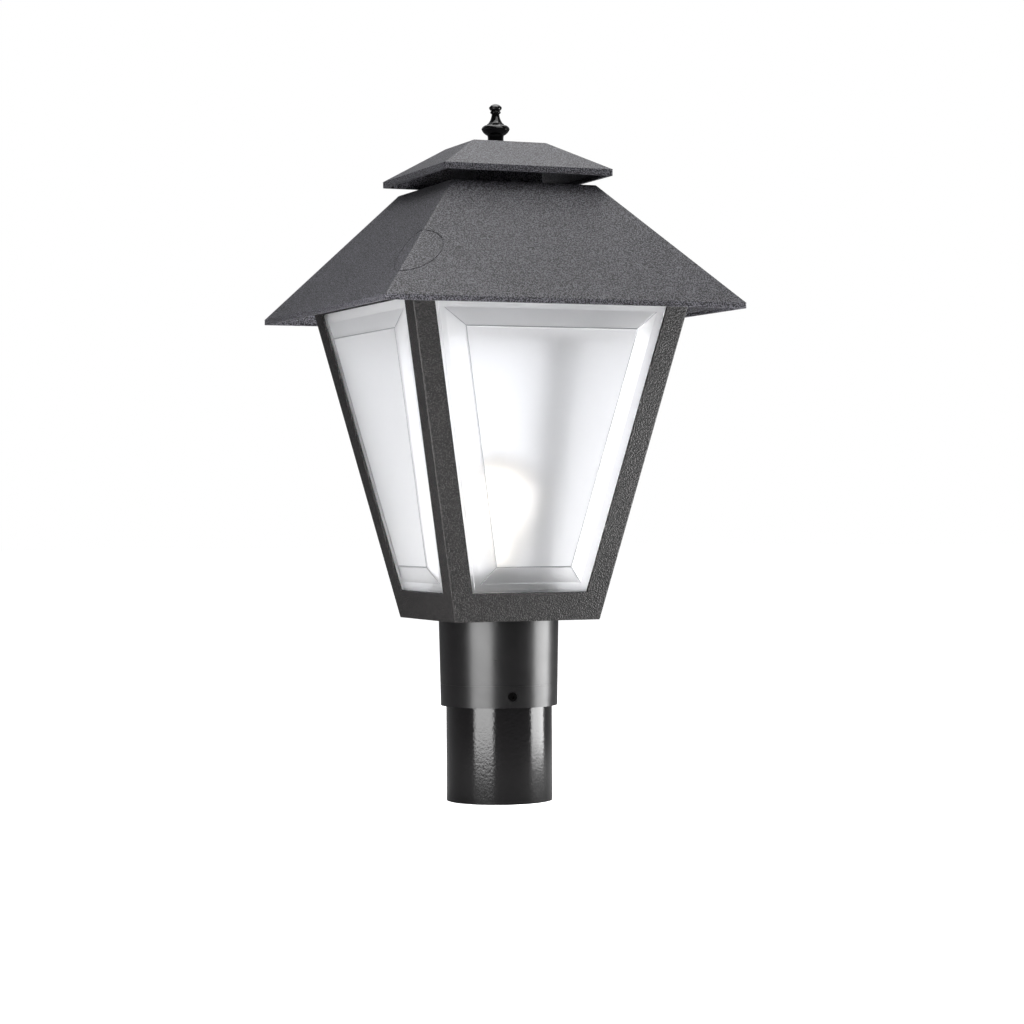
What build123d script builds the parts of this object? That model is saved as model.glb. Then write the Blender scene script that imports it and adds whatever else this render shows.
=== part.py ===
from build123d import *

import os
from math import acos, atan2, cos, degrees, hypot, radians, sin, tan

# Post top lantern: a tapered moulded frame on a post fitter, four bevelled frosted panels, and a
# lift-off hood with a raised vent cap, held down by a finial on a threaded rod.
#
# Millimetres, +Z up. The origin is on the lantern's axis at the cut end of the post stub, and the
# front panel faces -Y. Levels marked "above the floor" start at the underside of the lantern frame.

# ---------------------------------------------------------------- driving dimensions
# general
bite = 0.5                  # how far joined solids run into each other
through = 60.0              # length of the cutters that go right through a wall
thread_fit = 0.07           # radial clearance of a screw in its threaded hole
screw_clearance = 0.3       # radial clearance of a screw in a plain hole

# post and fitter
post_od = 76.2              # 3 in post
post_wall = 2.1
post_shown = 68.5           # length of post below the fitter
post_fit = 0.35             # radial clearance of the post in the fitter
post_stop_gap = 0.2         # post's end above the floor
stop_ring_gap = 0.1         # between the post's end and the ring that stops it
fitter_skirt = 62.0         # length of the fitter below the frame
fitter_wall_top = 4.7
fitter_wall_low = 3.5       # thinner at the mouth: the skirt has draft
fitter_web = 3.0            # web that carries the lampholder
fitter_web_height = 2.0     # underside of the web above the floor
fitter_cup_height = 28.0    # top of the ribbed cup above the floor
fitter_cup_wall = 2.6
fitter_flange = 3.0
fitter_flange_reach = 5.8   # flange beyond the skirt
fitter_fit = 0.3            # radial clearance of the skirt in the frame's floor
fitter_ribs = 16
fitter_rib = 2.4
rib_foot_inset = 1.0        # rib's foot inside the flange's edge
rib_foot_height = 2.0
rib_head_reach = 1.0        # rib's head beyond the cup
rib_head_drop = 1.5         # rib's head below the cup's top
skirt_band = 15.4           # height of the plain band at the mouth
skirt_band_groove = 0.6
skirt_band_step = 0.3       # depth of the groove over the band

# set screws
set_screws = 3
set_screw_d = 6.0
set_screw_length = 3.6
set_screw_height = 8.2      # centre above the fitter's mouth
set_screw_angle = -9.0      # first screw, from the front towards the right
set_screw_gap = 0.06        # between the screw's tip and the post
set_screw_socket_r = 1.7
set_screw_socket_depth = 2.0
set_screw_recess = 0.6      # recess round the screw, beyond its radius
set_screw_recess_depth = 0.9

# screws that hold the frame to the fitter
fitter_screw_d = 3.0
fitter_screw_af = 5.5
fitter_screw_head = 2.2
fitter_screw_reach = 6.5    # screw's centre beyond the skirt
fitter_screw_tip = 0.9      # screw's tip above the floor
fitter_pilot_cover = 0.7    # wall left under the pilot hole
fitter_lug_r = 5.0
lug_turns = [45, 135, 225, 315]

# lantern frame
roof_side = 266.7           # 10.5 in square at the eaves
eave_reach = 25.95          # eaves beyond the top of the frame
floor_margin = 12.15        # frame's bottom edge beyond the fitter
frame_height = 240.0
frame_wall = 2.5
frame_floor = 4.5
post_face = 15.9            # width of each face of a corner post
band_height = 19.7          # bottom band
head_height = 18.0          # hidden band over the panels
head_flange = 10.5          # inward flange round the frame's top
head_flange_t = 3.0
corner_round = 1.2

# panels
panel_skin = 1.8
panel_lap = 5.0             # how far the panel laps behind the opening's edge
panel_fit = 0.4             # play round the panel's land in the opening
panel_play = 0.2            # play before and behind the panel's edge
panel_foot_gap = 0.1        # under the panel's bottom edge
land_step = 2.6             # second land, from the opening's edge
land_low = 1.9              # depth of the first land behind the frame's face
land_high = 1.15            # depth of the second land
bevel_inset = 6.7           # outer line of the bevel, from the opening's edge
bevel_width = 12.3
bevel_hollow_inset = 0.4    # the hollow behind the bevel, drawn in from it
field_proud = 2.5           # centre field stands proud of the frame's face
crease = 0.35               # radius of the scored lines along the bevel's folds
groove_rib = 1.8            # rib behind the panel's bottom edge
groove_rib_drop = 0.7       # rib's top below the opening

# clips that hold the panels' top edges
clip_width = 12.0
clip_length = 14.0
clip_t = 1.0
clip_spacing = 90.0
clip_pad_margin = 1.0       # pad beyond the clip on each side
clip_pad_gap = 0.5          # pad above the panel's top edge
clip_slot_fit = 0.2
clip_screw_d = 3.0
clip_screw_af = 5.0
clip_screw_head = 1.8
clip_screw_tip = 1.6        # screw's tip behind the frame's face
clip_pilot_cover = 1.4      # wall left in front of the pilot hole

# hood
roof_wall = 3.0
roof_drop = 22.9            # eaves below the top of the frame
roof_rim = 3.7
rim_wall = 2.6
roof_pitch = 48.015         # slope of the four sides, in degrees
deck_side = 109.4
hip_round = 2.2
neck_side = 52.0            # at the deck
neck_draft = 1.3            # taper of each side over the neck's height
neck_height = 16.8
neck_wall = 2.6
seat_ribs_at = 45.0         # seat ribs each side of a face's middle
seat_rib = 2.5
seat_rib_height = 22.0      # above the top of the frame
seat_lip = 8.0
seat_fit = 0.4
blank_d = 30.6              # round blank on the front left hip
blank_height = 35.6         # its centre above the eaves
blank_line = 0.5            # width of the line scored round it
blank_depth = 0.35

# vent cap
vent_gap = 6.1              # deck to the cap's lip
cap_side = 127.8
cap_lip = 4.4
cap_rise = 21.6
cap_top_side = 55.5
cap_wall = 2.5
cap_leg = 6.6
cap_tongue = 4.0
cap_boss_r = 7.0
cap_boss_depth = 8.0        # boss below the cap's ceiling
leg_fit = 0.3

# crossbar, rod and finial
bar_width = 20.0
bar_t = 2.5
bar_margin = 4.4            # bar's ends inside the frame's outside
bar_screw_inset = 4.6
bar_screw_d = 3.0
bar_screw_af = 5.5
bar_screw_head = 2.4
bar_screw_length = 8.5      # below the bar
bar_screw_fit = 0.2
bar_boss_r = 4.6
bar_boss_depth = 10.0
bar_boss_cover = 1.0        # boss left under the pilot hole
rod_d = 6.35                # 1/4 in rod
rod_below_bar = 8.5
rod_hole_fit = 0.6
rod_bar_fit = 0.1
rod_chamfer = 0.6
rod_in_finial = 12.5
finial_bore_spare = 1.5     # bore beyond the rod's end
nut_af = 11.1
nut_t = 5.5
nut_fit = 0.05
finial_height = 28.5
finial_d = 20.4
washer_d = 14.0
washer_t = 1.6

# lampholder
holder_d = 40.0
holder_foot_d = 58.0
holder_foot = 5.0
holder_height = 28.0
holder_floor = 4.0          # bottom of the cavity above the foot's underside
shell_id = 27.0
shell_t = 0.5
shell_depth = 21.0
shell_fit = 0.1
shell_drop = 1.5            # shell's mouth below the holder's
contact_width = 6.0
contact_t = 0.6
contact_tail = 9.0          # contact strip behind the axis
contact_bend = 7.2          # contact strip's bend beyond the axis
holder_screw_at = 24.6
holder_screw_d = 4.0
holder_screw_af = 7.0
holder_screw_head = 2.6
holder_screw_tip = 0.5      # screw's tip above the web's underside
lead_hole_d = 20.0
bushing_flange = 1.5
bushing_flange_reach = 2.5
bushing_wall = 3.5
bushing_room = 0.8          # round the bushing's flange, in the holder's foot
bushing_headroom = 0.5

# lamp
lamp_length = 106.0
lamp_seat = 2.6             # lamp's tip above the bottom of the cavity
lamp_tip = 1.5
lamp_tip_r = 4.7
lamp_tip_chamfer = 0.7
lamp_insulator_h = 3.5
lamp_insulator_low_r = 6.5
lamp_insulator_step = 1.2   # its wide end inside the cap
lamp_cap_d = 26.2
lamp_cap_length = 22.0
lamp_neck_d = 27.6
bulb_d = 60.0
glass_t = 1.0

# ---------------------------------------------------------------- levels and sizes that follow
floor_z = post_shown + fitter_skirt             # underside of the frame
fitter_bore_r = post_od / 2 + post_fit
skirt_top_r = fitter_bore_r + fitter_wall_top
skirt_low_r = fitter_bore_r + fitter_wall_low
flange_z = floor_z + frame_floor                # underside of the fitter's flange
flange_r = skirt_top_r + fitter_flange_reach
web_top_z = floor_z + fitter_web_height + fitter_web
cup_r = fitter_bore_r + fitter_cup_wall
cup_top_z = floor_z + fitter_cup_height
fitter_screw_r = skirt_top_r + fitter_screw_reach
set_screw_z = post_shown + set_screw_height
set_screw_turns = [set_screw_angle + index * 360 / set_screws for index in range(set_screws)]

frame_top_z = floor_z + frame_height
frame_floor_half = skirt_top_r + floor_margin
frame_top_half = roof_side / 2 - eave_reach
tilt = atan2(frame_top_half - frame_floor_half, frame_height)

eaves_z = frame_top_z - roof_drop
roof_rise = (roof_side - deck_side) / 2 * tan(radians(roof_pitch))    # from the rim to the deck
deck_z = eaves_z + roof_rim + roof_rise
neck_top_z = deck_z + neck_height
neck_top_half = neck_side / 2 - neck_draft
neck_bore_half = neck_top_half - neck_wall
cap_z = deck_z + vent_gap
cap_top_z = cap_z + cap_lip + cap_rise
finial_z = cap_top_z + washer_t
rod_r = rod_d / 2
rod_clear_r = rod_r + rod_hole_fit

quarter_turns = [0, 90, 180, 270]               # front, right, back, left
side_names = ["front", "right", "back", "left"]


def frame_half(z, depth=0.0):
    """Half-width of the frame at a level, on a surface that lies depth behind its outer faces."""
    return frame_floor_half + (z - floor_z) * tan(tilt) - depth / cos(tilt)


def square(z, half):
    return Pos(0, 0, z) * Rectangle(2 * half, 2 * half)


def square_frustum(low_z, low_half, high_z, high_half):
    """Flat-sided solid between two squares, drawn in from the wider one."""
    wide_half, height = max(low_half, high_half), high_z - low_z
    slope = degrees(atan2(abs(low_half - high_half), height))
    solid = extrude(square(0, wide_half), height, taper=slope)
    if low_half < high_half:
        return Pos(0, 0, high_z) * Rot(180, 0, 0) * solid
    return Pos(0, 0, low_z) * solid


def frame_block(low_z, high_z, depth):
    """Solid that fills the frame between two levels, depth behind its outer faces."""
    return square_frustum(low_z, frame_half(low_z, depth), high_z, frame_half(high_z, depth))


def ring(low_z, height, outer_r, inner_r):
    return Pos(0, 0, low_z) * extrude(Circle(outer_r) - Circle(inner_r), height)


def disc(low_z, height, radius):
    return Pos(0, 0, low_z) * extrude(Circle(radius), height)


def around(part, turns):
    return [Rot(0, 0, turn) * part for turn in turns]


def gathered(solids):
    """Separate solids that share one node."""
    return Compound(children=list(solids))


def leaning_edges(solid):
    return [edge for edge in solid.edges() if abs(edge.tangent_at(0.5).Z) > 0.2]


# ---------------------------------------------------------------- a face of the frame
# On a face plane X runs along the face, Y up its slope from the floor's level and Z outwards.
front_face = Plane(origin=(0, -frame_floor_half, floor_z), x_dir=(1, 0, 0),
                   z_dir=(0, -cos(tilt), -sin(tilt)))
opening_low = band_height / cos(tilt)
opening_high = (frame_height - head_height) / cos(tilt)
panel_depth = frame_wall + panel_play            # front of the panel's edge, behind the face
panel_back = panel_depth + panel_skin
lap_low = opening_low - panel_lap
lap_high = opening_high + panel_lap
clip_high = lap_high + clip_length - panel_lap   # the clip laps the panel as the opening's edge does
clip_screw_at = (lap_high + clip_high) / 2
clip_sites = (-clip_spacing / 2, clip_spacing / 2)


def opening_corners(inset):
    """Corners of the panel opening, drawn in by inset on every side."""
    def half(slope_height):
        return (frame_floor_half + slope_height * sin(tilt) - post_face
                - inset * hypot(1, sin(tilt)))
    low, high = opening_low + inset, opening_high - inset
    return [(-half(low), low), (half(low), low), (half(high), high), (-half(high), high)]


def opening_outline(inset=0.0):
    return Polygon(*opening_corners(inset), align=None)


def face_slab(sketch, low, high):
    """Solid over a sketch of the face plane, between two levels off the face."""
    return front_face * (Pos(0, 0, low) * extrude(sketch, high - low))


def face_bevel(inset, low, high):
    """Raised field with a bevelled edge, from one level off the face to a higher one."""
    rise = high - low
    field = extrude(opening_outline(inset), rise, taper=degrees(atan2(bevel_width, rise)))
    return front_face * (Pos(0, 0, low) * field)


# ---------------------------------------------------------------- fasteners
def hex_screw(head_af, head_h, shank_r, shank_length):
    """Self-tapping screw with a slotted hexagon head, its head's underside at the origin.

    The shank has eight plain sides that touch the pilot hole's size at their corners.
    """
    head = extrude(RegularPolygon(head_af / 2, 6, major_radius=False), head_h)
    slot = Pos(0, 0, head_h) * Box(head_af * 1.2, head_af * 0.16, head_h)
    shank = Pos(0, 0, -shank_length) * extrude(RegularPolygon(shank_r, 8), shank_length)
    return head + shank - slot


# ---------------------------------------------------------------- post and fitter
def make_post_stub():
    return ring(0, floor_z + post_stop_gap, post_od / 2, post_od / 2 - post_wall)


def skirt_r(z):
    share = (z - post_shown) / fitter_skirt
    return skirt_low_r + share * (skirt_top_r - skirt_low_r)


def cup_rib():
    """Rib that stiffens the cup, from the flange up to just under the cup's top."""
    foot_z, foot_r, inner_r = flange_z + fitter_flange, flange_r - rib_foot_inset, cup_r - bite
    outline = Polygon((inner_r, foot_z), (foot_r, foot_z), (foot_r, foot_z + rib_foot_height),
                      (cup_r + rib_head_reach, cup_top_z - rib_head_drop),
                      (inner_r, cup_top_z - rib_head_drop), align=None)
    return Pos(0, fitter_rib / 2, 0) * extrude(Plane.XZ * outline, fitter_rib)


def set_screw_bore(radius, start, length=through):
    """Cylinder that runs out along -Y at the set screws' level, from a distance off the axis."""
    return Plane(origin=(0, -start, set_screw_z), z_dir=(0, -1, 0)) * extrude(Circle(radius), length)


def make_fitter():
    skirt = Polygon((fitter_bore_r, post_shown), (skirt_low_r, post_shown),
                    (skirt_top_r, floor_z), (skirt_top_r, flange_z), (flange_r, flange_z),
                    (flange_r, flange_z + fitter_flange), (cup_r, flange_z + fitter_flange),
                    (cup_r, cup_top_z), (fitter_bore_r, cup_top_z), align=None)
    body = revolve(Plane.XZ * skirt, Axis.Z)
    body += ring(web_top_z - fitter_web, fitter_web, fitter_bore_r + bite, lead_hole_d / 2)
    stop_z = floor_z + post_stop_gap + stop_ring_gap
    body += ring(stop_z, floor_z + fitter_web_height - stop_z, fitter_bore_r + bite,
                 post_od / 2 - post_wall - bite)
    body += around(cup_rib(), [360 / fitter_ribs * (index + 0.5) for index in range(fitter_ribs)])
    lug = Pos(fitter_screw_r, 0, flange_z) * extrude(Circle(fitter_lug_r), fitter_flange)
    body += around(lug, lug_turns)
    lug_hole = Pos(fitter_screw_r, 0, flange_z) * Cylinder(fitter_screw_d / 2 + screw_clearance,
                                                           4 * fitter_flange)
    body -= around(lug_hole, lug_turns)
    band_z = post_shown + skirt_band
    body -= ring(band_z, skirt_band_groove, flange_r, skirt_r(band_z) - skirt_band_step)
    for angle in set_screw_turns:
        body -= Rot(0, 0, angle) * set_screw_bore(set_screw_d / 2 + thread_fit, post_od / 4)
        body -= Rot(0, 0, angle) * set_screw_bore(set_screw_d / 2 + set_screw_recess,
                                                  skirt_r(set_screw_z) - set_screw_recess_depth)
    for side in (-1, 1):
        body -= Pos(side * holder_screw_at, 0, web_top_z) * Cylinder(holder_screw_d / 2 + thread_fit,
                                                                     4 * fitter_web)
    return body


def make_set_screws():
    tip = post_od / 2 + set_screw_gap
    screw = set_screw_bore(set_screw_d / 2, tip, set_screw_length)
    socket_floor = tip + set_screw_length - set_screw_socket_depth
    socket = Plane(origin=(0, -socket_floor, set_screw_z), z_dir=(0, -1, 0)) \
        * extrude(RegularPolygon(set_screw_socket_r, 6), through)
    return gathered(around(screw - socket, set_screw_turns))


def make_fitter_screws():
    screw = hex_screw(fitter_screw_af, fitter_screw_head, fitter_screw_d / 2,
                      fitter_flange + frame_floor - fitter_screw_tip)
    placed = Pos(fitter_screw_r, 0, flange_z + fitter_flange) * screw
    return gathered(around(placed, lug_turns))


# ---------------------------------------------------------------- lantern frame
rib_depth = panel_back + panel_play              # front of the rib behind the panel's bottom edge
groove_floor_z = floor_z + lap_low * cos(tilt) + panel_depth * sin(tilt) - panel_foot_gap
groove_rib_top_z = floor_z + band_height - groove_rib_drop
head_inner_half = frame_half(frame_top_z, frame_wall) - head_flange
bar_half = frame_top_half - bar_margin
bar_screw_at = bar_half - bar_screw_inset


def frame_shell():
    """Tapered open box with a floor, a groove for the panels' feet and a flange round its top."""
    above = frame_top_z + bite
    shell = frame_block(floor_z, frame_top_z, 0)
    shell = fillet(leaning_edges(shell), corner_round)
    shell -= frame_block(floor_z + frame_floor, above, rib_depth + groove_rib)
    shell -= frame_block(groove_floor_z, above, frame_wall)
    shell += (frame_block(groove_floor_z - bite, groove_rib_top_z, rib_depth)
              - frame_block(groove_floor_z - 2 * bite, groove_rib_top_z + bite,
                            rib_depth + groove_rib))
    head_z = frame_top_z - head_flange_t
    shell += (frame_block(head_z, frame_top_z, frame_wall / 2)
              - Pos(0, 0, head_z) * Box(2 * head_inner_half, 2 * head_inner_half, through))
    return shell


def clip_pad():
    """Pad that a clip is screwed to, inside the front face."""
    low = lap_high + clip_pad_gap
    outline = Pos(0, (low + clip_high) / 2) * Rectangle(clip_width + 2 * clip_pad_margin,
                                                        clip_high - low)
    return face_slab(outline, -panel_back, -frame_wall / 2)


def make_frame():
    frame = frame_shell()
    frame -= around(face_slab(opening_outline(), -frame_wall - bite, bite), quarter_turns)
    clip_pilot = face_slab(Pos(0, clip_screw_at) * Circle(clip_screw_d / 2 + thread_fit),
                           -panel_back - bite, -clip_pilot_cover)
    for turn in quarter_turns:
        for site in clip_sites:
            frame += Rot(0, 0, turn) * Pos(site, 0, 0) * clip_pad()
            frame -= Rot(0, 0, turn) * Pos(site, 0, 0) * clip_pilot
    boss_z = frame_top_z - bar_boss_depth
    boss = disc(boss_z, bar_boss_depth - bite, bar_boss_r)
    bar_pilot = disc(boss_z + bar_boss_cover, bar_boss_depth, bar_screw_d / 2 + thread_fit)
    for side in (-1, 1):
        frame += Pos(side * bar_screw_at, 0, 0) * boss
        frame -= Pos(side * bar_screw_at, 0, 0) * bar_pilot
    frame -= disc(floor_z - bite, frame_floor + 2 * bite, skirt_top_r + fitter_fit)
    fitter_pilot = Pos(fitter_screw_r, 0, 0) * disc(floor_z + fitter_pilot_cover, frame_floor,
                                                    fitter_screw_d / 2 + thread_fit)
    return frame - around(fitter_pilot, lug_turns)


# ---------------------------------------------------------------- panels and their clips
def scored_line(start, end):
    """Four-sided cutter along a fold of the front panel, between two points (x, slope, level)."""
    run = Vector(*end) - Vector(*start)
    profile = Plane(origin=start, z_dir=run) * RegularPolygon(crease, 4)
    return front_face * extrude(profile, run.length)


def bevel_creases():
    """Lines scored along the inner folds of the bevel and up its four mitres."""
    outer = [(x, y, -land_high) for x, y in opening_corners(bevel_inset)]
    inner = [(x, y, field_proud) for x, y in opening_corners(bevel_inset + bevel_width)]
    folds = [scored_line(inner[index - 1], inner[index]) for index in range(4)]
    return folds + [scored_line(low, high) for low, high in zip(outer, inner)]


def make_panel():
    panel = face_slab(opening_outline(-panel_lap), -panel_back, -panel_depth)
    panel += face_slab(opening_outline(panel_fit), -panel_depth, -land_low)
    panel += face_slab(opening_outline(land_step), -panel_depth, -land_high)
    panel += face_bevel(bevel_inset, -land_high, field_proud)
    panel -= face_bevel(bevel_inset + bevel_hollow_inset, -panel_back, field_proud - panel_skin)
    return panel - bevel_creases()


def on_each_site(part):
    """Copies of a part of the front face at every clip of every face."""
    return gathered(Rot(0, 0, turn) * Pos(site, 0, 0) * part
                    for turn in quarter_turns for site in clip_sites)


def make_clips():
    strip = Pos(0, clip_high - clip_length / 2) * Rectangle(clip_width, clip_length)
    slot_r = clip_screw_d / 2 + clip_slot_fit
    slot_length = clip_high - clip_screw_at + slot_r             # open at the clip's top end
    slot = Pos(0, clip_high - slot_length / 2) * Rectangle(2 * slot_r, slot_length)
    return on_each_site(face_slab(strip - slot, -panel_back - clip_t, -panel_back))


def make_clip_screws():
    seat = panel_back + clip_t
    screw = hex_screw(clip_screw_af, clip_screw_head, clip_screw_d / 2, seat - clip_screw_tip)
    return on_each_site(front_face * Pos(0, clip_screw_at, -seat) * Rot(180, 0, 0) * screw)


# ---------------------------------------------------------------- crossbar and rod
def make_crossbar():
    outline = SlotOverall(2 * bar_half, bar_width) - Circle(rod_r + rod_bar_fit)
    for side in (-1, 1):
        outline -= Pos(side * bar_screw_at, 0) * Circle(bar_screw_d / 2 + bar_screw_fit)
    return Pos(0, 0, frame_top_z) * extrude(outline, bar_t)


def make_crossbar_screws():
    screw = hex_screw(bar_screw_af, bar_screw_head, bar_screw_d / 2, bar_t + bar_screw_length)
    return gathered(Pos(side * bar_screw_at, 0, frame_top_z + bar_t) * screw for side in (-1, 1))


def make_rod():
    low = frame_top_z - rod_below_bar
    rod = disc(low, finial_z + rod_in_finial - low, rod_r)
    return chamfer(rod.edges().filter_by(GeomType.CIRCLE), rod_chamfer)


def make_rod_nuts():
    outline = RegularPolygon(nut_af / 2, 6, major_radius=False) - Circle(rod_r + nut_fit)
    nut = extrude(outline, nut_t)
    return gathered([Pos(0, 0, frame_top_z - nut_t) * nut, Pos(0, 0, frame_top_z + bar_t) * nut])


# ---------------------------------------------------------------- hood
class HippedShell:
    """Four-sided hollow roof: a low upright rim, four slopes and a flat top."""

    def __init__(self, low_z, half, rim, rise, top_half, wall, rim_wall):
        self.low_z, self.half, self.top_half = low_z, half, top_half
        self.wall, self.rim_wall = wall, rim_wall
        self.rim_z = low_z + rim
        self.top_z = self.rim_z + rise
        self.pitch = atan2(rise, half - top_half)

    def half_at(self, z, depth=0.0):
        """Half-width at a level of the slope, depth behind its outer face."""
        return self.half - (z - self.rim_z) / tan(self.pitch) - depth / sin(self.pitch)

    def outside(self, rounding):
        slopes = square_frustum(self.rim_z, self.half, self.top_z, self.top_half)
        crown = slopes.faces().sort_by(Axis.Z)[-1].edges()
        slopes = fillet(leaning_edges(slopes) + list(crown), rounding)
        rim = Pos(0, 0, self.low_z) * extrude(
            RectangleRounded(2 * self.half, 2 * self.half, rounding), self.rim_z - self.low_z)
        return slopes + rim

    def inside(self):
        meet_half = self.half - self.rim_wall
        meet_z = self.rim_z + (self.half_at(self.rim_z, self.wall) - meet_half) * tan(self.pitch)
        ceiling_z = self.top_z - self.wall
        slopes = square_frustum(meet_z, meet_half, ceiling_z, self.half_at(ceiling_z, self.wall))
        below = self.low_z - bite
        return slopes + extrude(square(below, meet_half), meet_z - below)

    def skin(self, depth, rounding):
        """Thin outer layer of the slopes, for shallow marks in them."""
        below = self.low_z - bite
        return self.outside(rounding) - square_frustum(below, self.half_at(below, depth),
                                                       self.top_z, self.half_at(self.top_z, depth))


roof_form = HippedShell(eaves_z, roof_side / 2, roof_rim, roof_rise, deck_side / 2,
                        roof_wall, rim_wall)
cap_form = HippedShell(cap_z, cap_side / 2, cap_lip, cap_rise, cap_top_side / 2,
                       cap_wall, cap_wall)


def seat_rib_solid():
    """Rib inside a slope that rests on the frame's top and laps down outside it."""
    rib_top_z = frame_top_z + seat_rib_height
    lip_z = frame_top_z - seat_lip
    lip_at = frame_top_half + seat_fit
    sunk = roof_wall - bite                      # how deep in the wall the rib's back lies
    outline = Polygon((roof_form.half_at(rib_top_z, sunk), rib_top_z),
                      (roof_form.half_at(lip_z, sunk), lip_z),
                      (lip_at, lip_z), (lip_at, frame_top_z),
                      (roof_form.half_at(rib_top_z, roof_wall), frame_top_z), align=None)
    return Pos(0, seat_rib / 2, 0) * extrude(Plane.XZ * outline, seat_rib)


def blank_ring():
    """Round line scored on the front left hip, seen true along the hip's diagonal."""
    outline = Circle((blank_d + blank_line) / 2) - Circle((blank_d - blank_line) / 2)
    bearing = Plane(origin=(0, 0, eaves_z + blank_height), z_dir=(-1, -1, 0))
    return (bearing * extrude(outline, roof_side)) & roof_form.skin(blank_depth, hip_round)


def make_roof():
    roof = roof_form.outside(hip_round) - roof_form.inside()
    roof += square_frustum(deck_z - roof_wall / 2, neck_side / 2, neck_top_z, neck_top_half)
    roof -= Pos(0, 0, deck_z) * Box(2 * neck_bore_half, 2 * neck_bore_half,
                                    2 * (neck_height + 2 * roof_wall))
    for offset in (-seat_ribs_at, seat_ribs_at):
        roof += around(Pos(0, offset, 0) * seat_rib_solid(), quarter_turns)
    return roof - blank_ring()


def corner_square(inner, outer):
    middle = (inner + outer) / 2
    return Pos(middle, middle) * Rectangle(outer - inner, outer - inner)


def make_vent_cap():
    cap = cap_form.outside(hip_round) - cap_form.inside()
    ceiling_z = cap_top_z - cap_wall
    leg_inner = neck_top_half - cap_leg
    tongue_outer = neck_bore_half - leg_fit
    leg = Pos(0, 0, neck_top_z) * extrude(corner_square(leg_inner, neck_top_half),
                                          ceiling_z + bite - neck_top_z)
    tongue = Pos(0, 0, neck_top_z - cap_tongue) * extrude(corner_square(leg_inner, tongue_outer),
                                                          cap_tongue + bite)
    cap += around(leg + tongue, quarter_turns)
    cap += disc(ceiling_z - cap_boss_depth, cap_boss_depth + bite, cap_boss_r)
    return cap - Pos(0, 0, cap_top_z) * Cylinder(rod_clear_r, 2 * (cap_lip + cap_rise))


# ---------------------------------------------------------------- finial
def make_finial_washer():
    return ring(cap_top_z, washer_t, washer_d / 2, rod_clear_r)


def make_finial():
    """Turned finial. Its outline is drawn for a 28.5 mm high, 20.4 mm wide one and scaled."""
    wide, tall = finial_d / 20.4, finial_height / 28.5

    def at(radius, below_top):
        return (radius * wide, finial_height - below_top * tall)
    knob = ThreePointArc(at(0, 0), at(2.64, 0.67), at(4.65, 2.5))
    knob_under = ThreePointArc(at(4.65, 2.5), at(4.1, 4.0), at(2.8, 4.9))
    bead = ThreePointArc(at(2.8, 4.9), at(3.8, 5.95), at(2.8, 7.0))
    flare = ThreePointArc(at(2.8, 7.0), at(3.5, 10.8), at(5.5, 14.2))
    collar = Polyline(at(5.5, 14.2), at(6.1, 14.5), at(6.1, 15.4))
    shoulder = ThreePointArc(at(6.1, 15.4), at(9.2, 16.4), at(10.2, 18.1))
    bowl = ThreePointArc(at(10.2, 18.1), at(9.0, 20.3), at(6.0, 22.6))
    foot = ThreePointArc(at(6.0, 22.6), at(5.7, 25.3), at(6.4, 28.5))
    base = Polyline(at(6.4, 28.5), (0, 0), at(0, 0))
    outline = make_face([knob, knob_under, bead, flare, collar, shoulder, bowl, foot, base])
    bore = disc(-bite, bite + rod_in_finial + finial_bore_spare, rod_r + thread_fit)
    return Pos(0, 0, finial_z) * (revolve(Plane.XZ * outline, Axis.Z) - bore)


# ---------------------------------------------------------------- lampholder
holder_top_z = web_top_z + holder_height
holder_floor_z = web_top_z + holder_floor
shell_or = shell_id / 2 + shell_t
bushing_flange_r = lead_hole_d / 2 + bushing_flange_reach


def make_holder():
    body = disc(web_top_z, holder_foot, holder_foot_d / 2)
    body += disc(web_top_z, holder_height, holder_d / 2)
    body -= disc(holder_floor_z, holder_height, shell_or + shell_fit)
    body -= disc(web_top_z - bite, bite + bushing_flange + bushing_headroom,
                 bushing_flange_r + bushing_room)
    for side in (-1, 1):
        body -= Pos(side * holder_screw_at, 0, web_top_z) \
            * Cylinder(holder_screw_d / 2 + screw_clearance, 4 * holder_foot)
    return body


def make_holder_shell():
    return ring(holder_top_z - shell_drop - shell_depth, shell_depth, shell_or, shell_id / 2)


def make_holder_contact():
    """Spring strip along the cavity's floor, bent back up to the middle under the lamp's tip."""
    run = Polyline((-contact_tail, contact_t / 2), (contact_bend - 2 * contact_t, contact_t / 2),
                   (contact_bend, 2 * contact_t), (0, lamp_seat - contact_t))
    strip = Plane.XZ * trace(run, contact_t)
    return Pos(0, contact_width / 2, holder_floor_z) * extrude(strip, contact_width)


def make_holder_screws():
    screw = hex_screw(holder_screw_af, holder_screw_head, holder_screw_d / 2,
                      holder_foot + fitter_web - holder_screw_tip)
    return gathered(Pos(side * holder_screw_at, 0, web_top_z + holder_foot) * screw
                    for side in (-1, 1))


def make_lead_bushing():
    low = web_top_z - fitter_web - bushing_flange
    length = fitter_web + 2 * bushing_flange
    body = disc(low, bushing_flange, bushing_flange_r)
    body += disc(low, length, lead_hole_d / 2)
    body += disc(web_top_z, bushing_flange, bushing_flange_r)
    return body - disc(low - bite, length + 2 * bite, lead_hole_d / 2 - bushing_wall)


# ---------------------------------------------------------------- lamp
lamp_z = holder_floor_z + lamp_seat
lamp_cap_z = lamp_z + lamp_tip + lamp_insulator_h
lamp_rim_z = lamp_cap_z + lamp_cap_length
bulb_z = lamp_z + lamp_length - bulb_d / 2


def make_lamp_contact():
    tip = disc(lamp_z, lamp_tip, lamp_tip_r)
    return chamfer(tip.edges().sort_by(Axis.Z)[0], lamp_tip_chamfer)


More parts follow.
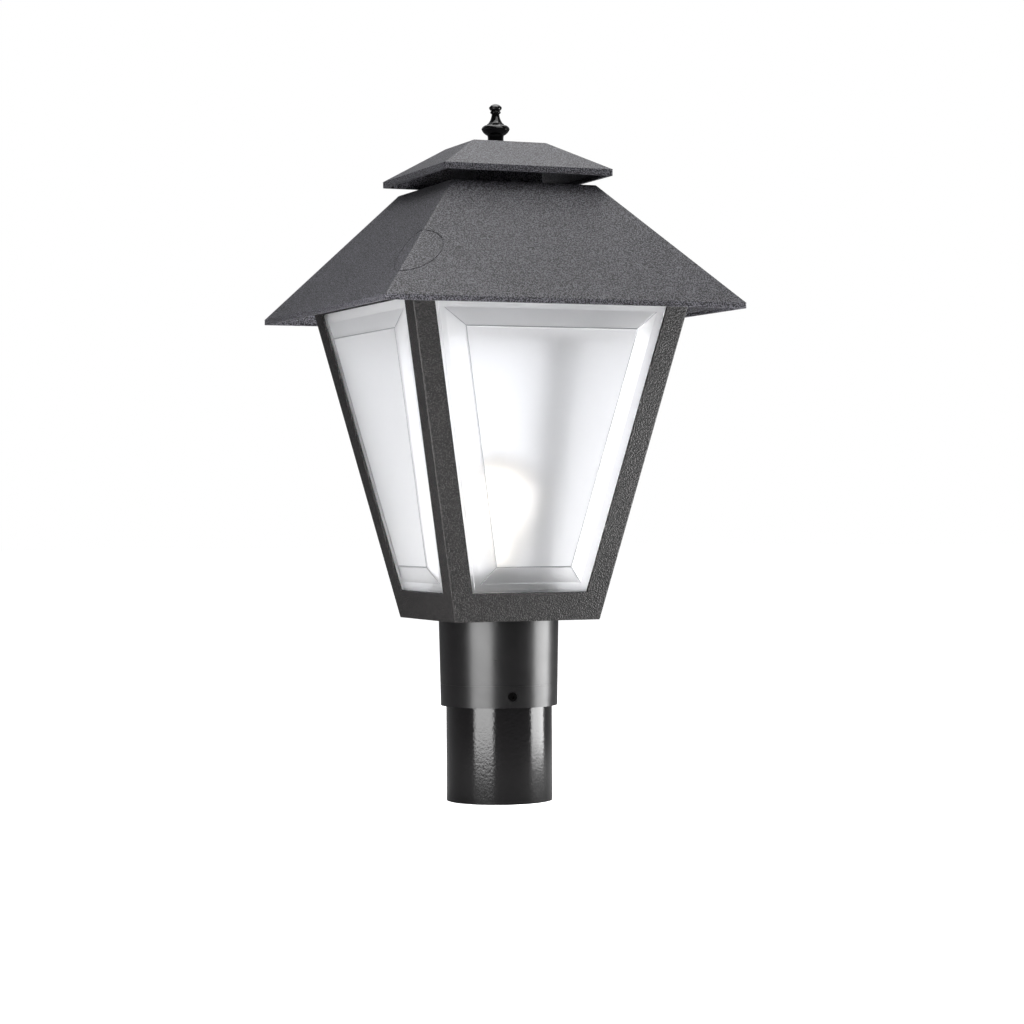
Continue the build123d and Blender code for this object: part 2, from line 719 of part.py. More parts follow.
def make_lamp_insulator():
    outline = Polygon((0, lamp_z + lamp_tip), (lamp_insulator_low_r, lamp_z + lamp_tip),
                      (lamp_cap_d / 2 - lamp_insulator_step, lamp_cap_z), (0, lamp_cap_z),
                      align=None)
    return revolve(Plane.XZ * outline, Axis.Z)


def make_lamp_cap():
    return disc(lamp_cap_z, lamp_cap_length, lamp_cap_d / 2)


def bulb_solid(inset):
    """Pear shape: a ball over a straight neck that runs down from it at a tangent."""
    ball_r, neck_r = bulb_d / 2 - inset, lamp_neck_d / 2 - inset
    drop = bulb_z - lamp_rim_z
    join = atan2(neck_r, drop) + acos(ball_r / hypot(neck_r, drop))     # from straight down
    meet = (ball_r * sin(join), bulb_z - ball_r * cos(join))
    ball = ThreePointArc(meet, (ball_r, bulb_z), (0, bulb_z + ball_r))
    rest = Polyline((0, bulb_z + ball_r), (0, lamp_rim_z), (neck_r, lamp_rim_z), meet)
    return revolve(Plane.XZ * make_face([ball, rest]), Axis.Z)


def make_lamp_glass():
    return bulb_solid(0) - bulb_solid(glass_t)


# ---------------------------------------------------------------- write every node
def main():
    nodes = {
        "post_stub": make_post_stub(), "fitter": make_fitter(), "set_screws": make_set_screws(),
        "fitter_screws": make_fitter_screws(), "lantern_frame": make_frame(),
        "panel_clips": make_clips(), "clip_screws": make_clip_screws(),
        "crossbar": make_crossbar(), "crossbar_screws": make_crossbar_screws(),
        "hood_rod": make_rod(), "rod_nuts": make_rod_nuts(),
        "roof": make_roof(), "vent_cap": make_vent_cap(),
        "finial_washer": make_finial_washer(), "finial": make_finial(),
        "lampholder": make_holder(), "lampholder_shell": make_holder_shell(),
        "lampholder_contact": make_holder_contact(), "lampholder_screws": make_holder_screws(),
        "lead_bushing": make_lead_bushing(), "lamp_contact": make_lamp_contact(),
        "lamp_insulator": make_lamp_insulator(), "lamp_cap": make_lamp_cap(),
        "lamp_glass": make_lamp_glass(),
    }
    panel = make_panel()
    for name, turn in zip(side_names, quarter_turns):
        nodes["panel_" + name] = Rot(0, 0, turn) * panel
    os.makedirs("parts", exist_ok=True)
    for name, shape in nodes.items():
        shape.label = name
        export_step(shape, f"parts/{name}.step")
    print(len(nodes), "nodes, top at", round(finial_z + finial_height, 1))


main()
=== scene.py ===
import math

import bpy
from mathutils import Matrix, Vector


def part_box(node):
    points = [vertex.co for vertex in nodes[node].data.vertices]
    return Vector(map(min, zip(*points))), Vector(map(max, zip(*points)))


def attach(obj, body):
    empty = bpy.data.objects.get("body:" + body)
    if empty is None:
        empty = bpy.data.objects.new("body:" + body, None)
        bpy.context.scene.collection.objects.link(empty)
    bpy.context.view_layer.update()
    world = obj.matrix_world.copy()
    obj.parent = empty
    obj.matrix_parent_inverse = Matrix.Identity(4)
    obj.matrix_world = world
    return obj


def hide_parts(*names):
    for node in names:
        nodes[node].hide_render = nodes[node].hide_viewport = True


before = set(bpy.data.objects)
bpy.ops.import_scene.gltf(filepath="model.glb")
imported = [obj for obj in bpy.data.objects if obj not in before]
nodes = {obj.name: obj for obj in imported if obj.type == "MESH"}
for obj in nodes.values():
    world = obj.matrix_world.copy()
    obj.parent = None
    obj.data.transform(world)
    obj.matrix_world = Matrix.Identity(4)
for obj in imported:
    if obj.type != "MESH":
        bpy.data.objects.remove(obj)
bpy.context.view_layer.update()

mm = 0.001
scene = bpy.context.scene
print("stage: frame loaded,", len(nodes), "CAD nodes")


photoCamera = {    # where the photograph was taken from
    "place": (-0.7354, -1.7923, 0.2111),    # metres
    "turn": -22.61,                         # degrees about Z, from looking along +Y
    "tilt": -0.12, "roll": 0.35,            # degrees
    "lens": 94.5, "sensor": 36,             # mm
    "near": 0.05, "far": 60,                # metres
}


def makeCamera(look):
    data = bpy.data.cameras.new("photoCamera")
    data.sensor_width = look["sensor"]
    data.lens = look["lens"]
    data.clip_start, data.clip_end = look["near"], look["far"]
    camera = bpy.data.objects.new("photoCamera", data)
    scene.collection.objects.link(camera)
    camera.location = look["place"]
    camera.rotation_euler = [math.radians(a) for a in (90 + look["tilt"], look["roll"], look["turn"])]
    scene.camera = camera


makeCamera(photoCamera)
print("stage: camera set")


def srgb(code):    # a hex colour as the linear values that a shader takes
    levels = [int(code[i:i + 2], 16) / 255 for i in (1, 3, 5)]
    return tuple(c / 12.92 if c <= 0.04045 else ((c + 0.055) / 1.055) ** 2.4 for c in levels) + (1.0,)


def addNode(tree, kind, inputs=None, **settings):    # one node with its settings and what feeds it
    node = tree.nodes.new(kind)
    for name, value in settings.items():
        setattr(node, name, value)
    for key, value in (inputs or {}).items():
        if isinstance(value, bpy.types.Node):    # a node feeds by its first output
            value = value.outputs[0]
        if isinstance(value, bpy.types.NodeSocket):
            tree.links.new(value, node.inputs[key])
        else:
            node.inputs[key].default_value = value
    return node


def startMaterial(name, values):    # a Principled material whose uniform values sit on its own sockets
    material = bpy.data.materials.new(name)
    material.use_nodes = True
    tree = material.node_tree
    shader = tree.nodes["Principled BSDF"]
    for key, value in values.items():
        shader.inputs[key].default_value = value
    coords = addNode(tree, "ShaderNodeTexCoord").outputs["Object"]
    return material, tree, shader, coords


# moulded plastic with a grain: the hood and the frame; the colour's light specks and pebble tops are painted
# sparkle and painted highlights
hoodGrainAndSheen = {
    "name": "charcoalSandGrainAbs",    # sand-blasted mould: dull, its even sparkle painted into the colour as light specks, drawn coarse to show
    "dark": "#121114", "light": "#6c6b72", "roughness": 0.5, "contrast": 0.16, "depth": 0.15 * mm,
    "speck": 0.9 * mm, "pebble": 1.3 * mm, "pebbleShare": 0.25, "cloud": 34 * mm, "cloudShare": 0.25,
}
frameGrainAndSheen = {
    "name": "blackLeatherGrainAbs",    # etched leather grain, drawn coarse to show: pebbles with painted highlights on their tops
    "dark": "#060505", "light": "#2a2727", "roughness": 0.5, "contrast": 0.18, "depth": 0.3 * mm,
    "speck": 0.9 * mm, "pebble": 1.4 * mm, "pebbleShare": 0.5, "cloud": 40 * mm, "cloudShare": 0.2,
}
grainShape = {    # what the two grains have in common
    "ior": 1.5, "soft": 0.3,        # how softly the pebbles meet
    "valley": 0.62, "top": 0.12,    # how far from a pebble's middle it ends and starts to fall, in its sizes
    "dull": 0.36, "bright": 0.64,   # noise levels that become fully dark specks and fully light specks of painted sparkle
    "speckDetail": 1, "cloudDetail": 4,
}


def makeGrainedPlasticWithSheen(look, shape):
    material, tree, shader, coords = startMaterial(look["name"], {
        "IOR": shape["ior"], "Roughness": look["roughness"]})
    cells = addNode(tree, "ShaderNodeTexVoronoi", {"Vector": coords, "Scale": 1 / look["pebble"],
                    "Smoothness": shape["soft"]}, feature="SMOOTH_F1")
    pebblesAndTopSheen = addNode(tree, "ShaderNodeMapRange", {"Value": cells, "From Min": shape["valley"],
                      "From Max": shape["top"]})
    sparkleSpecks = addNode(tree, "ShaderNodeTexNoise", {"Vector": coords, "Scale": 1 / look["speck"],
                     "Detail": shape["speckDetail"]})
    sparkleSpecks = addNode(tree, "ShaderNodeMapRange", {"Value": sparkleSpecks, "From Min": shape["dull"],
                     "From Max": shape["bright"]})
    clouds = addNode(tree, "ShaderNodeTexNoise", {"Vector": coords, "Scale": 1 / look["cloud"],
                     "Detail": shape["cloudDetail"]})
    swing = look["cloudShare"] / 2
    clouds = addNode(tree, "ShaderNodeMapRange", {"Value": clouds, "To Min": -swing, "To Max": swing})
    grain = addNode(tree, "ShaderNodeMix", {"Factor": look["pebbleShare"], 2: sparkleSpecks, 3: pebblesAndTopSheen})
    share = addNode(tree, "ShaderNodeMapRange", {"Value": grain, "From Min": 0.5 - look["contrast"],
                    "From Max": 0.5 + look["contrast"]})
    share = addNode(tree, "ShaderNodeMath", {0: share, 1: clouds}, operation="ADD", use_clamp=True)
    # painted sparkle and highlights: the bright specks and the pebble tops take the light colour, and the
    # clouds add random tone on top
    colour = addNode(tree, "ShaderNodeMix", {"Factor": share, 6: srgb(look["dark"]), 7: srgb(look["light"])},
                     data_type="RGBA")
    tree.links.new(colour.outputs[2], shader.inputs["Base Color"])
    bump = addNode(tree, "ShaderNodeBump", {"Height": grain, "Distance": look["depth"]})
    tree.links.new(bump.outputs[0], shader.inputs["Normal"])
    return material


# frosted panels
panelLook = {
    "name": "frostedAcrylic",    # matt both sides and a little milky: bright, blurs what is behind
    "colour": "#fdfdfe", "clear": 0.97, "ior": 1.49, "roughness": 0.28, "grain": 0.9 * mm, "grainDetail": 2,
    "grainGloss": 0.04,          # how much rougher the grain's tops are
    "depth": 0.006 * mm, "relief": 0.3,
    "topRoughness": 0.55, "topBand": 22 * mm,    # heavier frost along the top edge, under the hood
    "bandFade": 1.6,                             # and how many band widths down it has gone
}
creaseShadeLook = {    # painted shade along the folds and mitres of the bevels: dark lines where the acrylic turns
    "colour": "#97979b", "width": 0.32 * mm,
    "outer": 6.7 * mm, "inner": 19.0 * mm,       # a bevel's edges, as insets from the frame's opening
    "floor": 130.5 * mm, "tilt": math.atan(52.1 / 240),    # where the frame starts, and how its sides lean
    "low": 20.16 * mm, "high": 227.17 * mm,      # the opening's ends, measured up the slope from the floor
    "halfAtFloor": 39.4 * mm,                    # its half width, where its sides would meet the floor
}


def creaseShadeMask(tree, coords, look):    # 1 on the fold line and on the mitres, on all four panels alike: where the painted shade lines go
    spread = math.sin(look["tilt"])    # how much wider the opening gets up the slope
    square = math.cos(math.atan(spread))    # turns a sideways distance into one square to the opening's side
    upward = 1 / math.cos(look["tilt"])
    spot = addNode(tree, "ShaderNodeVectorMath", {0: coords}, operation="ABSOLUTE")
    spot = addNode(tree, "ShaderNodeSeparateXYZ", {0: spot})
    sideways = addNode(tree, "ShaderNodeMath", {0: spot.outputs["X"], 1: spot.outputs["Y"]},
                       operation="MINIMUM")
    height = addNode(tree, "ShaderNodeMath", {0: spot.outputs["Z"], 1: upward, 2: -look["floor"] * upward},
                     operation="MULTIPLY_ADD")
    half = addNode(tree, "ShaderNodeMath", {0: height, 1: spread, 2: look["halfAtFloor"]},
                   operation="MULTIPLY_ADD")
    side = addNode(tree, "ShaderNodeMath", {0: half, 1: sideways}, operation="SUBTRACT")
    side = addNode(tree, "ShaderNodeMath", {0: side, 1: square}, operation="MULTIPLY")
    above = addNode(tree, "ShaderNodeMath", {0: look["high"], 1: height}, operation="SUBTRACT")
    below = addNode(tree, "ShaderNodeMath", {0: height, 1: look["low"]}, operation="SUBTRACT")
    end = addNode(tree, "ShaderNodeMath", {0: above, 1: below}, operation="MINIMUM")
    inset = addNode(tree, "ShaderNodeMath", {0: side, 1: end}, operation="MINIMUM")
    fold = addNode(tree, "ShaderNodeMath", {0: inset, 1: look["inner"], 2: look["width"]},
                   operation="COMPARE")
    mitre = addNode(tree, "ShaderNodeMath", {0: side, 1: end, 2: look["width"]}, operation="COMPARE")
    middle, reach = (look["outer"] + look["inner"]) / 2, (look["inner"] - look["outer"]) / 2
    bevel = addNode(tree, "ShaderNodeMath", {0: inset, 1: middle, 2: reach}, operation="COMPARE")
    mitre = addNode(tree, "ShaderNodeMath", {0: mitre, 1: bevel}, operation="MULTIPLY")
    return addNode(tree, "ShaderNodeMath", {0: fold, 1: mitre}, operation="MAXIMUM")


def makeFrosted(look, creaseShade):
    material, tree, shader, coords = startMaterial(look["name"], {
        "IOR": look["ior"], "Transmission Weight": look["clear"]})
    # painted shade: the mask darkens the base colour into thin grey lines along the folds and mitres
    colour = addNode(tree, "ShaderNodeMix", {"Factor": creaseShadeMask(tree, coords, creaseShade),
                     6: srgb(look["colour"]), 7: srgb(creaseShade["colour"])}, data_type="RGBA")
    tree.links.new(colour.outputs[2], shader.inputs["Base Color"])
    grain = addNode(tree, "ShaderNodeTexNoise", {"Vector": coords, "Scale": 1 / look["grain"],
                    "Detail": look["grainDetail"]})
    height = addNode(tree, "ShaderNodeSeparateXYZ", {0: coords}).outputs["Z"]
    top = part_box("panel_front")[1][2]
    frost = addNode(tree, "ShaderNodeMapRange", {
        "Value": height, "From Min": top - look["bandFade"] * look["topBand"],
        "From Max": top - look["topBand"], "To Min": look["roughness"],
        "To Max": look["topRoughness"]}, interpolation_type="SMOOTHSTEP")
    rough = addNode(tree, "ShaderNodeMath", {0: grain, 1: look["grainGloss"], 2: frost},
                    operation="MULTIPLY_ADD")
    tree.links.new(rough.outputs[0], shader.inputs["Roughness"])
    bump = addNode(tree, "ShaderNodeBump", {"Height": grain, "Distance": look["depth"],
                   "Strength": look["relief"]})
    tree.links.new(bump.outputs[0], shader.inputs["Normal"])
    return material


# materials of one colour: "roughness" runs from the glossiest to the dullest patches, "wave" is their size
fitterLook = {
    "name": "satinBlackMouldedAbs",    # polished mould: soft wide highlights with a slight waviness
    "colour": "#0c0b0c", "roughness": (0.25, 0.35), "wave": 9 * mm, "depth": 0.15 * mm,
    "shader": {"IOR": 1.5},
}
postLook = {
    "name": "semiGlossBlackPowderCoat",    # powder coat: highlights broken up by orange peel
    "colour": "#060506", "roughness": (0.09, 0.19), "wave": 1.8 * mm, "depth": 0.13 * mm,
    "shader": {"IOR": 1.5},
}
lampLook = {
    "name": "frostedLampGlass",    # etched inside: white and soft, the filaments show as a bright cloud
    "colour": "#ffffff", "roughness": (0.54, 0.66), "wave": 0.8 * mm,
    "shader": {"IOR": 1.5, "Transmission Weight": 0.75},
}
smallParts = {
    "finial": {"name": "glossBlackEnamel",    # stoved enamel: small sharp highlights
               "colour": "#0c0b0c", "roughness": (0.096, 0.144), "wave": 4 * mm, "depth": 0.01 * mm},
    "zinc": {"name": "brightZincPlate",    # plated steel: cool grey, slightly clouded
             "colour": "#b4b7b8", "roughness": (0.288, 0.432), "wave": 1.4 * mm, "depth": 0.02 * mm,
             "shader": {"Metallic": 1}},
    "blackSteel": {"name": "blackOxideSteel",    # oiled black oxide: dark, with a dull metal shine
                   "colour": "#232222", "roughness": (0.208, 0.312), "wave": 1 * mm, "depth": 0.04 * mm,
                   "shader": {"Metallic": 1}},
    "brass": {"name": "stampedBrass",    # stamped sheet: warm, with soft wide reflections
              "colour": "#c9a35a", "roughness": (0.24, 0.36), "wave": 2 * mm, "depth": 0.02 * mm,
              "shader": {"Metallic": 1}},
    "aluminium": {"name": "rolledAluminium",    # rolled thin shell: pale and satin
                  "colour": "#c9cbcc", "roughness": (0.256, 0.384), "wave": 1.5 * mm, "depth": 0.02 * mm,
                  "shader": {"Metallic": 1}},
    "solder": {"name": "tinnedContact",    # a solidified drop: grey and uneven
               "colour": "#a9abab", "roughness": (0.336, 0.504), "wave": 1 * mm, "depth": 0.05 * mm,
               "shader": {"Metallic": 1}},
    "rubber": {"name": "blackRubber",    # moulded rubber: dull, no clear highlight
               "colour": "#191818", "roughness": (0.576, 0.864), "wave": 0.8 * mm, "depth": 0.03 * mm},
    "phenolic": {"name": "blackPhenolic",    # pressed resin: black-brown, half gloss
                 "colour": "#1b1918", "roughness": (0.32, 0.48), "wave": 5 * mm, "depth": 0.03 * mm},
    "vitrite": {"name": "blackVitrite",    # black glass: clear small reflections
                "colour": "#08080a", "roughness": (0.064, 0.096), "wave": 3 * mm, "depth": 0.02 * mm},
}
filamentGlow = {
    "name": "litFilament",    # phosphor-coated sticks: white, brighter than anything round them
    "colour": "#fff7ea", "roughness": (0.54, 0.66), "wave": 0.5 * mm,
    "shader": {"Emission Color": srgb("#fff7ea"), "Emission Strength": 4.0},
}


def makePlain(look, detail, relief=0):    # uneven gloss and, where relief is given, fine bumps to match it
    values = {"Base Color": srgb(look["colour"]), **look.get("shader", {})}
    material, tree, shader, coords = startMaterial(look["name"], values)
    marks = addNode(tree, "ShaderNodeTexNoise", {"Vector": coords, "Scale": 1 / look["wave"],
                    "Detail": detail})
    glossy, dull = look["roughness"]
    rough = addNode(tree, "ShaderNodeMapRange", {"Value": marks, "To Min": glossy, "To Max": dull})
    tree.links.new(rough.outputs[0], shader.inputs["Roughness"])
    if relief:
        bump = addNode(tree, "ShaderNodeBump", {"Height": marks, "Distance": look["depth"],
                       "Strength": relief})
        tree.links.new(bump.outputs[0], shader.inputs["Normal"])
    return material


finish = {key: makePlain(look, detail=4, relief=0.5) for key, look in smallParts.items()}
finish["fitter"] = makePlain(fitterLook, detail=3, relief=0.6)
finish["post"] = makePlain(postLook, detail=3, relief=0.6)
finish["lamp"] = makePlain(lampLook, detail=2)
finish["filament"] = makePlain(filamentGlow, detail=2)
finish["hood"] = makeGrainedPlasticWithSheen(hoodGrainAndSheen, grainShape)
finish["frame"] = makeGrainedPlasticWithSheen(frameGrainAndSheen, grainShape)
finish["panel"] = makeFrosted(panelLook, creaseShadeLook)

finishOf = {
    "hood": ["roof", "vent_cap"],
    "frame": ["lantern_frame"],
    "fitter": ["fitter"],
    "post": ["post_stub"],
    "panel": ["panel_front", "panel_right", "panel_back", "panel_left"],
    "finial": ["finial"],
    "blackSteel": ["set_screws"],
    "zinc": ["fitter_screws", "panel_clips", "clip_screws", "crossbar", "crossbar_screws", "hood_rod",
             "rod_nuts", "lampholder_screws"],
    "brass": ["lampholder_shell", "lampholder_contact"],
    "phenolic": ["lampholder"],
    "rubber": ["finial_washer", "lead_bushing"],
    "lamp": ["lamp_glass"],
    "aluminium": ["lamp_cap"],
    "vitrite": ["lamp_insulator"],
    "solder": ["lamp_contact"],
}
for key, names in finishOf.items():
    for name in names:
        for slot in nodes[name].material_slots:
            slot.material = finish[key]
print("stage: materials given to", sum(len(names) for names in finishOf.values()), "nodes")


def startTree(name, inputs):    # a new tree with named inputs, and the sockets that they arrive at
    tree = bpy.data.node_groups.new(name, "GeometryNodeTree")
    for label, kind in inputs.items():
        tree.interface.new_socket(label, in_out="INPUT", socket_type="NodeSocket" + kind)
    tree.interface.new_socket("Geometry", in_out="OUTPUT", socket_type="NodeSocketGeometry")
    return tree, addNode(tree, "NodeGroupInput").outputs


def closeTree(tree, geometry, material):
    solid = addNode(tree, "GeometryNodeRealizeInstances", {"Geometry": geometry})
    painted = addNode(tree, "GeometryNodeSetMaterial", {"Geometry": solid, "Material": material})
    addNode(tree, "NodeGroupOutput", {"Geometry": painted})


def growPiece(name, tree, sizes, body):    # runs the tree once and keeps the plain mesh
    piece = bpy.data.objects.new(name, bpy.data.meshes.new(name))
    scene.collection.objects.link(piece)
    modifier = piece.modifiers.new("grow", "NODES")
    modifier.node_group = tree
    for socket in tree.interface.items_tree:
        if socket.in_out == "INPUT" and socket.name in sizes:
            modifier[socket.identifier] = sizes[socket.name]
    grown = bpy.data.meshes.new_from_object(piece.evaluated_get(bpy.context.evaluated_depsgraph_get()))
    piece.modifiers.remove(modifier)
    piece.data = grown
    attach(piece, body)
    return piece


# threads: a sheet rolled round its axis, with a helical groove run into it
rodThread = {"Crest": 3.17 * mm, "Depth": 0.62 * mm, "Pitch": 1.27 * mm, "Around": 24, "Rows": 580}
capThread = {"Crest": 13.08 * mm, "Depth": 0.85 * mm, "Pitch": 3.63 * mm, "Around": 72, "Rows": 96}
threadMesh = {
    "wall": 0.49999,        # rows nearer the sheet's middle than this are wall, the two end rows close it
    "weld": 0.002 * mm,     # joins the seam and the ends' points
}


def makeThreadTree(name, material, mesh):
    tree, given = startTree(name, {"Crest": "Float", "Depth": "Float", "Pitch": "Float", "Base": "Float",
                                   "Length": "Float", "Around": "Int", "Rows": "Int"})
    sheet = addNode(tree, "GeometryNodeMeshGrid", {"Size X": 1, "Size Y": 1, "Vertices X": given["Around"],
                    "Vertices Y": given["Rows"]})
    spot = addNode(tree, "ShaderNodeSeparateXYZ", {0: addNode(tree, "GeometryNodeInputPosition")})
    turn = addNode(tree, "ShaderNodeMath", {0: spot.outputs["X"], 1: 0.5}, operation="ADD")    # 0 to 1 round
    rise = addNode(tree, "ShaderNodeMath", {0: spot.outputs["Y"], 1: 0.5}, operation="ADD")    # 0 to 1 up
    height = addNode(tree, "ShaderNodeMath", {0: rise, 1: given["Length"]}, operation="MULTIPLY")
    turns = addNode(tree, "ShaderNodeMath", {0: height, 1: given["Pitch"]}, operation="DIVIDE")
    phase = addNode(tree, "ShaderNodeMath", {0: turns, 1: turn}, operation="SUBTRACT")
    groove = addNode(tree, "ShaderNodeMath", {0: phase, 1: 0.5}, operation="PINGPONG")    # crest to root
    groove = addNode(tree, "ShaderNodeMapRange", {"Value": groove, "From Max": 0.5, "To Max": given["Depth"]},
                     interpolation_type="SMOOTHSTEP")
    radius = addNode(tree, "ShaderNodeMath", {0: given["Crest"], 1: groove}, operation="SUBTRACT")
    inside = addNode(tree, "ShaderNodeMath", {0: spot.outputs["Y"], 1: 0, 2: mesh["wall"]},
                     operation="COMPARE")
    radius = addNode(tree, "ShaderNodeMath", {0: radius, 1: inside}, operation="MULTIPLY")
    angle = addNode(tree, "ShaderNodeMath", {0: turn, 1: math.tau}, operation="MULTIPLY")
    across = []
    for wave in ("COSINE", "SINE"):
        swing = addNode(tree, "ShaderNodeMath", {0: angle}, operation=wave)
        across.append(addNode(tree, "ShaderNodeMath", {0: swing, 1: radius}, operation="MULTIPLY"))
    lifted = addNode(tree, "ShaderNodeMath", {0: height, 1: given["Base"]}, operation="ADD")
    place = addNode(tree, "ShaderNodeCombineXYZ", {0: across[0], 1: across[1], 2: lifted})
    wound = addNode(tree, "GeometryNodeSetPosition", {"Geometry": sheet, "Position": place})
    joined = addNode(tree, "GeometryNodeMergeByDistance", {"Geometry": wound, "Distance": mesh["weld"]})
    smooth = addNode(tree, "GeometryNodeSetShadeSmooth", {"Geometry": joined})
    closeTree(tree, smooth, material)
    return tree


def makeThread(name, node, body, material, look):
    low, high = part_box(node)
    sizes = dict(look, Base=low[2], Length=high[2] - low[2])
    piece = growPiece(name, makeThreadTree(name + "Tree", material, threadMesh), sizes, body)
    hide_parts(node)


makeThread("hood_rod_thread", "hood_rod", "lantern", finish["zinc"], rodThread)
makeThread("lamp_cap_thread", "lamp_cap", "lamp", finish["aluminium"], capThread)
print("stage: threads cut on the hood rod and the lamp cap")


# the lamp's light: a ring of filament sticks on a glass stem, seen as a soft cloud through the frost
filamentCage = {
    "Sticks": 8, "Ring": 9 * mm, "Thickness": 1.3 * mm, "Length": 30 * mm, "Middle": 218.1 * mm,
    "Stem": 3.4 * mm, "Foot": 172 * mm, "stickSides": 12, "stemSides": 24,
}


def makeFilaments(look, material):
    tree, given = startTree("filamentCageTree", {"Sticks": "Int", "Ring": "Float", "Thickness": "Float",
                            "Length": "Float", "Middle": "Float", "Stem": "Float", "Foot": "Float"})
    ring = addNode(tree, "GeometryNodeMeshCircle", {"Vertices": given["Sticks"], "Radius": given["Ring"]})
    stick = addNode(tree, "GeometryNodeMeshCylinder", {"Vertices": look["stickSides"],
                    "Radius": given["Thickness"], "Depth": given["Length"]})
    sticks = addNode(tree, "GeometryNodeInstanceOnPoints", {"Points": ring, "Instance": stick})
    place = addNode(tree, "ShaderNodeCombineXYZ", {2: given["Middle"]})
    raised = addNode(tree, "GeometryNodeTransform", {"Geometry": sticks, "Translation": place})
    tall = addNode(tree, "ShaderNodeMath", {0: given["Middle"], 1: given["Foot"]}, operation="SUBTRACT")
    stem = addNode(tree, "GeometryNodeMeshCone", {"Vertices": look["stemSides"],
                   "Radius Top": given["Thickness"], "Radius Bottom": given["Stem"], "Depth": tall})
    foot = addNode(tree, "ShaderNodeCombineXYZ", {2: given["Foot"]})
    stood = addNode(tree, "GeometryNodeTransform", {"Geometry": stem, "Translation": foot})
    both = addNode(tree, "GeometryNodeJoinGeometry", {0: raised})
    tree.links.new(stood.outputs[0], both.inputs[0])
    closeTree(tree, both, material)
    growPiece("lamp_filaments", tree, look, "lamp")


makeFilaments(filamentCage, finish["filament"])
print("stage: filaments stood inside the lamp")


# pale floor, white surround and studio lights
studio = {
    "floorRadius": 12.0, "floorSides": 128, "floorColour": "#f6f6f6", "floorRoughness": 0.8,
    "floorGlow": 1.0,             # the floor as the camera sees it
    "floorThroughPanels": 1.6,    # as the panels pass it on
    "floorMirrored": 0.35,        # as gloss reflects it
    "floorBounce": 0.15,          # and as light thrown back up
    "white": 1.0,                 # what shows behind the lantern
    "throughPanels": 1.32,        # the same white, as the panels pass it on
    "behind": 0.34,               # the same side, as light on the lantern
    "room": 0.04,                 # dim side of the studio, behind the camera
    "fadeFrom": 0.15, "fadeTo": 0.6,    # where dim turns bright: cosines of the angle off the camera's line
    "roomColour": "#f2f4f8",
}
lights = {    # metres and watts; the two panels stand close, where the fitter and the post mirror them
    "overheadBox": {"place": (0, 0, 2.2), "aim": (0, 0, 0.4), "size": (1.3, 1.3), "power": 16},
    "frontBox": {"place": (0.3, -0.9, 1.8), "aim": (0, 0, 0.4), "size": (1.3, 1.3), "power": 12},
    "backBox": {"place": (0.35, 0.7, 1.9), "aim": (0, 0, 0.4), "size": (1.3, 1.3), "power": 11},
    "leftPanel": {"place": (-0.327, -0.231, 0.15), "aim": (0, 0, 0.14), "size": (0.3, 0.3), "power": 2.6},
    "rightPanel": {"place": (0.369, -0.154, 0.15), "aim": (0, 0, 0.14), "size": (0.27, 0.3), "power": 3.0},
}


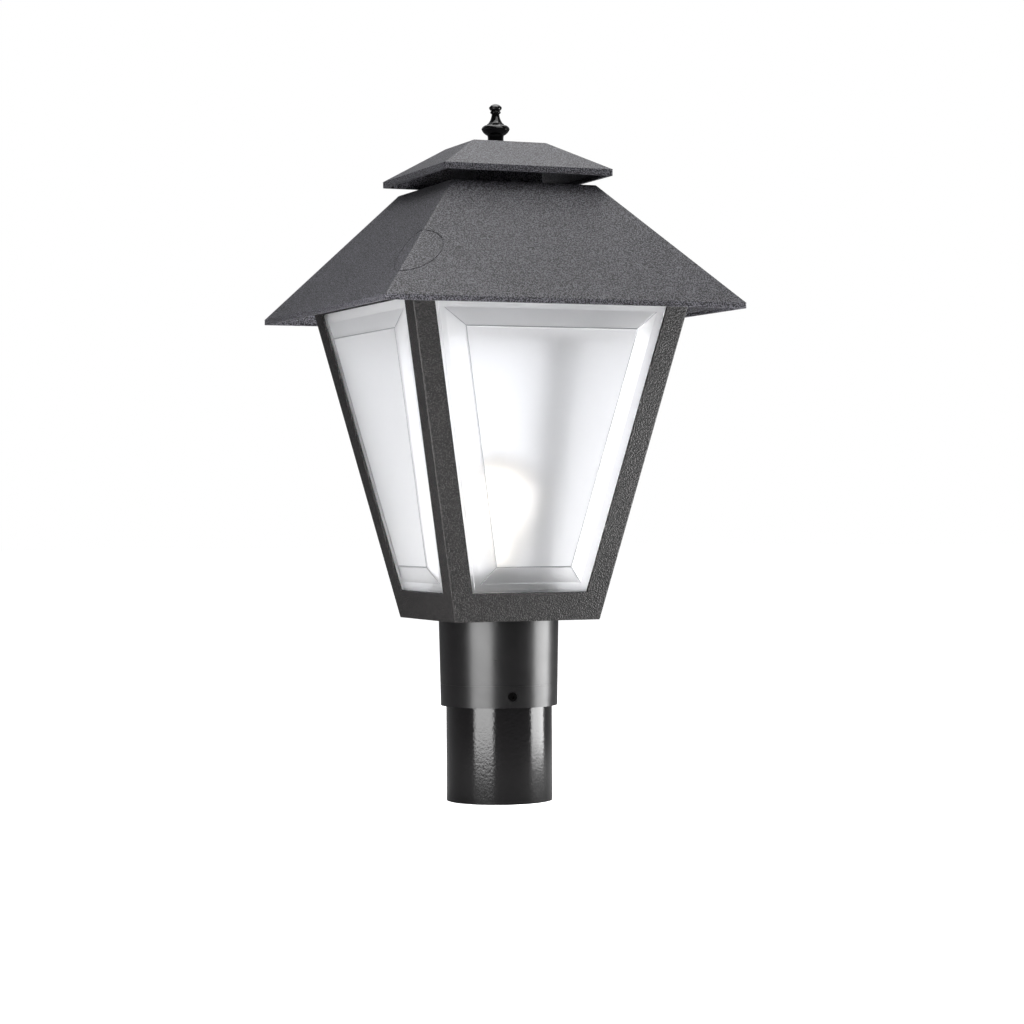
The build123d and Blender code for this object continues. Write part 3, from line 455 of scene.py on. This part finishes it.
def makeFloor(look):
    bpy.ops.mesh.primitive_circle_add(vertices=look["floorSides"], radius=look["floorRadius"],
                                      fill_type="NGON")
    floor = bpy.context.object
    floor.name = "paleFloor"
    material = bpy.data.materials.new("paleFloorPaint")
    material.use_nodes = True
    tree = material.node_tree
    shader = tree.nodes["Principled BSDF"]
    shader.inputs["Roughness"].default_value = look["floorRoughness"]
    shader.inputs["Emission Color"].default_value = srgb(look["floorColour"])
    ray = addNode(tree, "ShaderNodeLightPath").outputs
    glow = addNode(tree, "ShaderNodeMath", {0: ray["Is Camera Ray"], 1: look["floorGlow"]},
                   operation="MULTIPLY")
    for kind, share in (("Is Diffuse Ray", "floorBounce"), ("Is Transmission Ray", "floorThroughPanels")):
        glow = addNode(tree, "ShaderNodeMath", {0: ray[kind], 1: look[share], 2: glow},
                       operation="MULTIPLY_ADD")
    tree.links.new(glow.outputs[0], shader.inputs["Emission Strength"])
    mirrored = [c * look["floorMirrored"] for c in srgb(look["floorColour"])[:3]] + [1]
    paint = addNode(tree, "ShaderNodeMix", {"Factor": ray["Is Glossy Ray"], 6: srgb(look["floorColour"]),
                    7: mirrored}, data_type="RGBA")
    tree.links.new(paint.outputs[2], shader.inputs["Base Color"])
    floor.data.materials.append(material)


def makeSky(look):
    world = bpy.data.worlds.new("whiteStudio")
    scene.world = world
    world.use_nodes = True
    tree = world.node_tree
    ray = addNode(tree, "ShaderNodeLightPath").outputs
    away = addNode(tree, "ShaderNodeTexCoord").outputs["Generated"]
    turn = math.radians(photoCamera["turn"])
    back = addNode(tree, "ShaderNodeVectorMath", {0: away, 1: (-math.sin(turn), math.cos(turn), 0)},
                   operation="DOT_PRODUCT").outputs["Value"]
    fade = addNode(tree, "ShaderNodeMapRange", {
        "Value": back, "From Min": look["fadeFrom"], "From Max": look["fadeTo"], "To Min": look["room"],
        "To Max": look["behind"]}, interpolation_type="SMOOTHSTEP")
    panel = addNode(tree, "ShaderNodeMath", {0: ray["Is Transmission Ray"], 1: look["throughPanels"]},
                    operation="MULTIPLY")
    direct = addNode(tree, "ShaderNodeMath", {0: ray["Is Camera Ray"], 1: look["white"]},
                     operation="MULTIPLY")
    strength = addNode(tree, "ShaderNodeMath", {0: fade, 1: panel}, operation="MAXIMUM")
    strength = addNode(tree, "ShaderNodeMath", {0: strength, 1: direct}, operation="MAXIMUM")
    sky = tree.nodes["Background"]
    tree.links.new(strength.outputs[0], sky.inputs["Strength"])
    tint = addNode(tree, "ShaderNodeMix", {"Factor": direct, 6: srgb(look["roomColour"]), 7: (1, 1, 1, 1)},
                   data_type="RGBA")
    tree.links.new(tint.outputs[2], sky.inputs["Color"])
    scene.view_settings.view_transform = "Standard"


def makeLight(name, look):
    data = bpy.data.lights.new(name, "AREA")
    data.shape = "RECTANGLE"
    data.size, data.size_y = look["size"]
    data.energy = look["power"]
    light = bpy.data.objects.new(name, data)
    scene.collection.objects.link(light)
    light.location = look["place"]
    light.visible_camera = False
    light.rotation_euler = (Vector(look["aim"]) - light.location).to_track_quat("-Z", "Y").to_euler()


makeFloor(studio)
makeSky(studio)
for name, look in lights.items():
    makeLight(name, look)
print("stage: floor, sky and lights")
